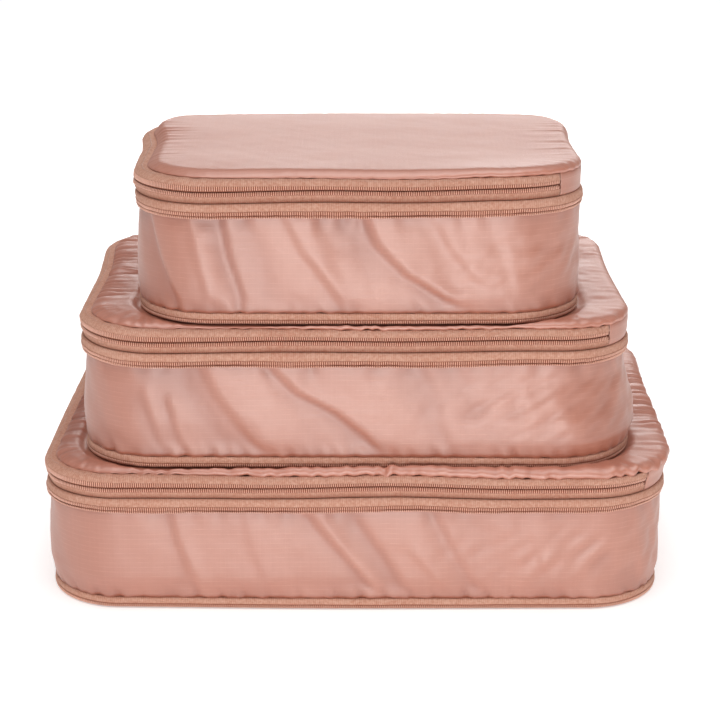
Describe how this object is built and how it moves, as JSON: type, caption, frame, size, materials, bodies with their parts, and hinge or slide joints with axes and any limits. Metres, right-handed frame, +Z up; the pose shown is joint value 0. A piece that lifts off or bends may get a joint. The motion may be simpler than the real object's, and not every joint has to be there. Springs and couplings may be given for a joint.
{
  "type": "packing cube set",
  "caption": "Stack of soft zipped packing cubes, small on medium on large, each with a zip-round lid, an expanding ripstop wall and a squeeze zip that is open.",
  "frame": {"origin": "centre of the large cube's underside, on the surface that the stack stands on", "axes": "+Z up, +X along the cubes' long side towards the edge that the lids hinge on, +Y to the back where the zip sliders are parked"},
  "size_m": [0.4074, 0.3115, 0.2772],
  "materials": {
    "ripstop": "satin",
    "zip_tape": "matte",
    "zip_coil": "satin",
    "binding": "matte",
    "zip_slider": "satin",
    "zip_pull": "satin"
  },
  "bodies": {
    "large_base": {"large_base_panel": "ripstop", "large_base_binding": "binding", "large_squeeze_zip_lower_tape": "zip_tape", "large_squeeze_zip_lower_coil": "zip_coil", "large_side_wall": "ripstop"},
    "large_rim": {"large_rim_binding": "binding", "large_squeeze_zip_upper_tape": "zip_tape", "large_squeeze_zip_upper_coil": "zip_coil", "large_main_zip_lower_tape": "zip_tape", "large_main_zip_lower_coil": "zip_coil", "large_hinge_strip": "ripstop"},
    "large_lid": {"large_lid_panel": "ripstop", "large_main_zip_upper_tape": "zip_tape", "large_main_zip_upper_coil": "zip_coil", "large_lid_binding": "binding"},
    "large_main_slider": {"large_main_slider": "zip_slider"},
    "large_main_pull": {"large_main_pull": "zip_pull"},
    "large_squeeze_slider": {"large_squeeze_slider": "zip_slider"},
    "large_squeeze_pull": {"large_squeeze_pull": "zip_pull"},
    "medium_base": {"medium_base_panel": "ripstop", "medium_base_binding": "binding", "medium_squeeze_zip_lower_tape": "zip_tape", "medium_squeeze_zip_lower_coil": "zip_coil", "medium_side_wall": "ripstop"},
    "medium_rim": {"medium_rim_binding": "binding", "medium_squeeze_zip_upper_tape": "zip_tape", "medium_squeeze_zip_upper_coil": "zip_coil", "medium_main_zip_lower_tape": "zip_tape", "medium_main_zip_lower_coil": "zip_coil", "medium_hinge_strip": "ripstop"},
    "medium_lid": {"medium_lid_panel": "ripstop", "medium_main_zip_upper_tape": "zip_tape", "medium_main_zip_upper_coil": "zip_coil", "medium_lid_binding": "binding"},
    "medium_main_slider": {"medium_main_slider": "zip_slider"},
    "medium_main_pull": {"medium_main_pull": "zip_pull"},
    "medium_squeeze_slider": {"medium_squeeze_slider": "zip_slider"},
    "medium_squeeze_pull": {"medium_squeeze_pull": "zip_pull"},
    "small_base": {"small_base_panel": "ripstop", "small_base_binding": "binding", "small_squeeze_zip_lower_tape": "zip_tape", "small_squeeze_zip_lower_coil": "zip_coil", "small_side_wall": "ripstop"},
    "small_rim": {"small_rim_binding": "binding", "small_squeeze_zip_upper_tape": "zip_tape", "small_squeeze_zip_upper_coil": "zip_coil", "small_main_zip_lower_tape": "zip_tape", "small_main_zip_lower_coil": "zip_coil", "small_hinge_strip": "ripstop"},
    "small_lid": {"small_lid_panel": "ripstop", "small_main_zip_upper_tape": "zip_tape", "small_main_zip_upper_coil": "zip_coil", "small_lid_binding": "binding"},
    "small_main_slider": {"small_main_slider": "zip_slider"},
    "small_main_pull": {"small_main_pull": "zip_pull"},
    "small_squeeze_slider": {"small_squeeze_slider": "zip_slider"},
    "small_squeeze_pull": {"small_squeeze_pull": "zip_pull"}
  },
  "joints": [
    {"name": "large_compress", "type": "slide", "parent": "large_base", "child": "large_rim", "axis": [0, 0, -1], "range_m": [0, 0.056], "stiffness_N_per_m": 60, "springref_m": -0.06, "deforming": ["large_side_wall"]},
    {"name": "large_lid_hinge", "type": "hinge", "parent": "large_rim", "child": "large_lid", "pos_m": [0.2003, 0, 0.09035], "axis": [0, 1, 0], "range_deg": [0, 101]},
    {"name": "large_main_slider_slide", "type": "slide", "parent": "large_rim", "child": "large_main_slider", "axis": [-1, 0, 0], "range_m": [0, 0.276]},
    {"name": "large_main_pull_swing", "type": "hinge", "parent": "large_main_slider", "child": "large_main_pull", "pos_m": [0.138, 0.1525, 0.0836], "axis": [0, 0, 1], "range_deg": [0, 180]},
    {"name": "large_squeeze_slider_slide", "type": "slide", "parent": "large_rim", "child": "large_squeeze_slider", "axis": [-1, 0, 0], "range_m": [0, 0.262]},
    {"name": "large_squeeze_pull_swing", "type": "hinge", "parent": "large_squeeze_slider", "child": "large_squeeze_pull", "pos_m": [0.131, 0.156, 0.0695], "axis": [0, 0, 1], "range_deg": [0, 180]},
    {"name": "medium_lift", "type": "slide", "parent": "large_rim", "child": "medium_base", "axis": [0, 0, 1], "range_m": [0, 0.74]},
    {"name": "medium_compress", "type": "slide", "parent": "medium_base", "child": "medium_rim", "axis": [0, 0, -1], "range_m": [0, 0.056], "stiffness_N_per_m": 60, "springref_m": -0.06, "deforming": ["medium_side_wall"]},
    {"name": "medium_lid_hinge", "type": "hinge", "parent": "medium_rim", "child": "medium_lid", "pos_m": [0.1773, -0.0125, 0.18285], "axis": [0, 1, 0], "range_deg": [0, 101]},
    {"name": "medium_main_slider_slide", "type": "slide", "parent": "medium_rim", "child": "medium_main_slider", "axis": [-1, 0, 0], "range_m": [0, 0.228]},
    {"name": "medium_main_pull_swing", "type": "hinge", "parent": "medium_main_slider", "child": "medium_main_pull", "pos_m": [0.115, 0.115, 0.1761], "axis": [0, 0, 1], "range_deg": [0, 180]},
    {"name": "medium_squeeze_slider_slide", "type": "slide", "parent": "medium_rim", "child": "medium_squeeze_slider", "axis": [-1, 0, 0], "range_m": [0, 0.214]},
    {"name": "medium_squeeze_pull_swing", "type": "hinge", "parent": "medium_squeeze_slider", "child": "medium_squeeze_pull", "pos_m": [0.108, 0.1185, 0.162], "axis": [0, 0, 1], "range_deg": [0, 180]},
    {"name": "small_lift", "type": "slide", "parent": "medium_rim", "child": "small_base", "axis": [0, 0, 1], "range_m": [0, 0.65]},
    {"name": "small_compress", "type": "slide", "parent": "small_base", "child": "small_rim", "axis": [0, 0, -1], "range_m": [0, 0.056], "stiffness_N_per_m": 60, "springref_m": -0.06, "deforming": ["small_side_wall"]},
    {"name": "small_lid_hinge", "type": "hinge", "parent": "small_rim", "child": "small_lid", "pos_m": [0.1438, -0.0315, 0.27535], "axis": [0, 1, 0], "range_deg": [0, 170]},
    {"name": "small_main_slider_slide", "type": "slide", "parent": "small_rim", "child": "small_main_slider", "axis": [-1, 0, 0], "range_m": [0, 0.156]},
    {"name": "small_main_pull_swing", "type": "hinge", "parent": "small_main_slider", "child": "small_main_pull", "pos_m": [0.0815, 0.069, 0.2686], "axis": [0, 0, 1], "range_deg": [0, 180]},
    {"name": "small_squeeze_slider_slide", "type": "slide", "parent": "small_rim", "child": "small_squeeze_slider", "axis": [-1, 0, 0], "range_m": [0, 0.142]},
    {"name": "small_squeeze_pull_swing", "type": "hinge", "parent": "small_squeeze_slider", "child": "small_squeeze_pull", "pos_m": [0.0745, 0.0725, 0.2545], "axis": [0, 0, 1], "range_deg": [0, 180]}
  ],
  "couplings": [
    {"joint": "large_lid_hinge", "follows": "medium_lift", "rad_per_m": 2.38},
    {"joint": "medium_lid_hinge", "follows": "small_lift", "rad_per_m": 2.7}
  ]
}
